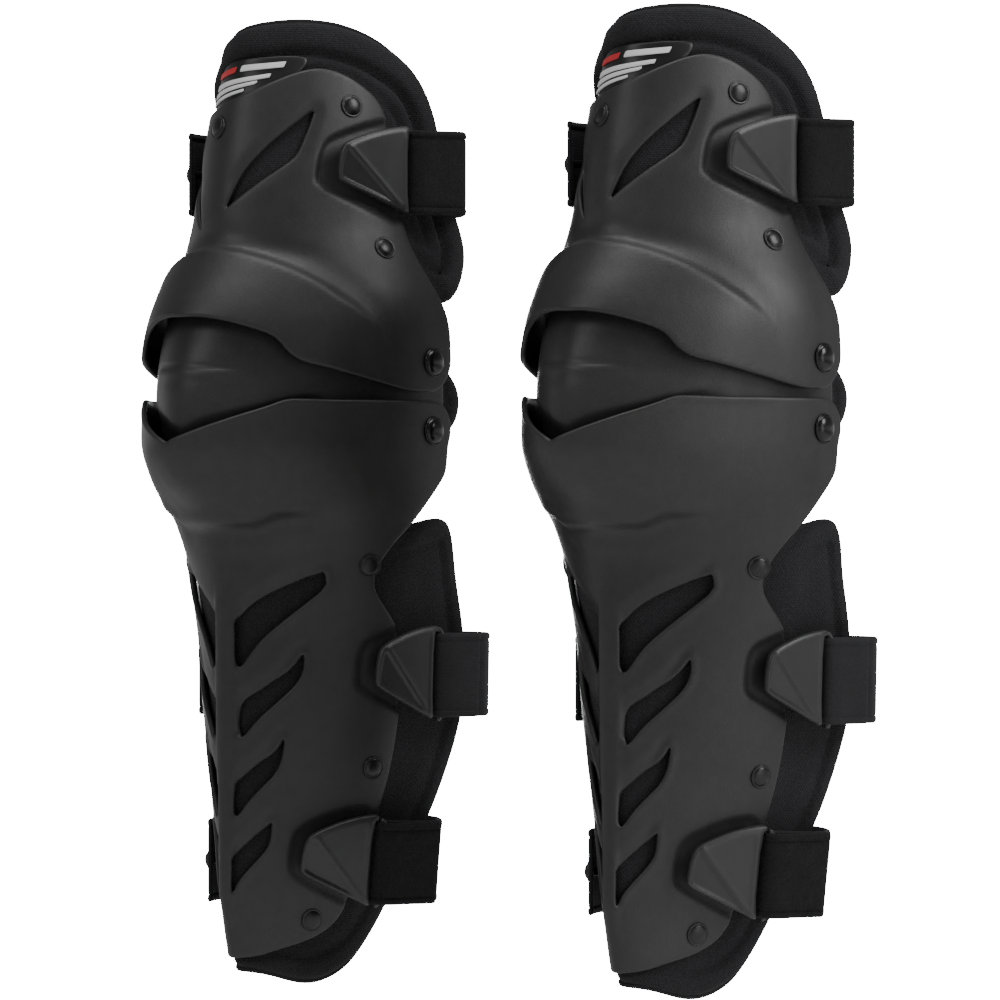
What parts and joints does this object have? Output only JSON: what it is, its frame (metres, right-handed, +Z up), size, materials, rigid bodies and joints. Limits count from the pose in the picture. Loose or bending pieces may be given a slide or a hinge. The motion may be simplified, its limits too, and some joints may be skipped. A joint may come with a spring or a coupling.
{
  "type": "knee guards",
  "caption": "Hinged hard-shell knee and shin guards, side by side: thigh shell, knee cup and shin shell on side pivots, foam pads behind, elastic straps with tabs.",
  "frame": {"origin": "midway between the two guards' centre planes, at the height midway between the upper and lower knee pivots, on the pivots' own depth", "axes": "+Z up along the leg, towards the thigh; -Y is the front; +X is the wearer's left"},
  "size_m": [0.4042, 0.2004, 0.48],
  "materials": {
    "shell": "matt textured black, injection moulded",
    "tab": "matt black moulded rubbery plastic",
    "pad": "black foam-backed fabric",
    "webbing": "black elastic webbing with hook-and-loop",
    "rivet": "gloss black caps",
    "washer": "steel",
    "badge": null
  },
  "bodies": {
    "left_shin": {"left_shin_shell": "shell", "left_shin_pad": "pad", "left_shin_rivets": "rivet", "left_upper_shin_stud": "rivet", "left_lower_shin_stud": "rivet", "left_upper_shin_strap": "webbing", "left_lower_shin_strap": "webbing", "left_shin_strap_rivets": "rivet"},
    "left_cup": {"left_knee_cup": "shell", "left_knee_pad": "pad", "left_upper_pivot_rivets": "rivet", "left_lower_pivot_rivets": "rivet", "left_upper_pivot_washers": "washer", "left_lower_pivot_washers": "washer"},
    "left_thigh": {"left_thigh_shell": "shell", "left_thigh_pad": "pad", "left_thigh_rivets": "rivet", "left_thigh_badge": "badge", "left_thigh_stud": "rivet", "left_thigh_strap": "webbing", "left_thigh_strap_rivet": "rivet"},
    "left_thigh_tab": {"left_thigh_tab": "tab", "left_thigh_strap_loop": "webbing"},
    "left_upper_shin_tab": {"left_upper_shin_tab": "tab", "left_upper_shin_strap_loop": "webbing"},
    "left_lower_shin_tab": {"left_lower_shin_tab": "tab", "left_lower_shin_strap_loop": "webbing"},
    "right_shin": {"right_shin_shell": "shell", "right_shin_pad": "pad", "right_shin_rivets": "rivet", "right_upper_shin_stud": "rivet", "right_lower_shin_stud": "rivet", "right_upper_shin_strap": "webbing", "right_lower_shin_strap": "webbing", "right_shin_strap_rivets": "rivet"},
    "right_cup": {"right_knee_cup": "shell", "right_knee_pad": "pad", "right_upper_pivot_rivets": "rivet", "right_lower_pivot_rivets": "rivet", "right_upper_pivot_washers": "washer", "right_lower_pivot_washers": "washer"},
    "right_thigh": {"right_thigh_shell": "shell", "right_thigh_pad": "pad", "right_thigh_rivets": "rivet", "right_thigh_badge": "badge", "right_thigh_stud": "rivet", "right_thigh_strap": "webbing", "right_thigh_strap_rivet": "rivet"},
    "right_thigh_tab": {"right_thigh_tab": "tab", "right_thigh_strap_loop": "webbing"},
    "right_upper_shin_tab": {"right_upper_shin_tab": "tab", "right_upper_shin_strap_loop": "webbing"},
    "right_lower_shin_tab": {"right_lower_shin_tab": "tab", "right_lower_shin_strap_loop": "webbing"}
  },
  "joints": [
    {"name": "left_lower_knee_pivot", "type": "hinge", "parent": "left_shin", "child": "left_cup", "pos_m": [-0.12, 0, -0.017], "axis": [-1, 0, 0], "range_deg": [0, 45]},
    {"name": "left_upper_knee_pivot", "type": "hinge", "parent": "left_cup", "child": "left_thigh", "pos_m": [-0.12, 0, 0.017], "axis": [-1, 0, 0], "range_deg": [0, 45]},
    {"name": "left_thigh_tab_release", "type": "hinge", "parent": "left_thigh", "child": "left_thigh_tab", "pos_m": [-0.0477, 0.03081, 0.112], "axis": [0, 0, 1], "range_deg": [0, 60]},
    {"name": "left_upper_shin_tab_release", "type": "hinge", "parent": "left_shin", "child": "left_upper_shin_tab", "pos_m": [-0.0466, 0.0421, -0.139], "axis": [0, 0, 1], "range_deg": [0, 60]},
    {"name": "left_lower_shin_tab_release", "type": "hinge", "parent": "left_shin", "child": "left_lower_shin_tab", "pos_m": [-0.05486, 0.01844, -0.232], "axis": [0, 0, 1], "range_deg": [0, 60]},
    {"name": "right_lower_knee_pivot", "type": "hinge", "parent": "right_shin", "child": "right_cup", "pos_m": [0.12, 0, -0.017], "axis": [-1, 0, 0], "range_deg": [0, 45]},
    {"name": "right_upper_knee_pivot", "type": "hinge", "parent": "right_cup", "child": "right_thigh", "pos_m": [0.12, 0, 0.017], "axis": [-1, 0, 0], "range_deg": [0, 45]},
    {"name": "right_thigh_tab_release", "type": "hinge", "parent": "right_thigh", "child": "right_thigh_tab", "pos_m": [0.1923, 0.03081, 0.112], "axis": [0, 0, 1], "range_deg": [0, 60]},
    {"name": "right_upper_shin_tab_release", "type": "hinge", "parent": "right_shin", "child": "right_upper_shin_tab", "pos_m": [0.1934, 0.0421, -0.139], "axis": [0, 0, 1], "range_deg": [0, 60]},
    {"name": "right_lower_shin_tab_release", "type": "hinge", "parent": "right_shin", "child": "right_lower_shin_tab", "pos_m": [0.18514, 0.01844, -0.232], "axis": [0, 0, 1], "range_deg": [0, 60]},
    {"name": "pair_spacing", "type": "slide", "parent": "left_shin", "child": "right_shin", "axis": [1, 0, 0], "range_m": [0, 0.1]}
  ]
}
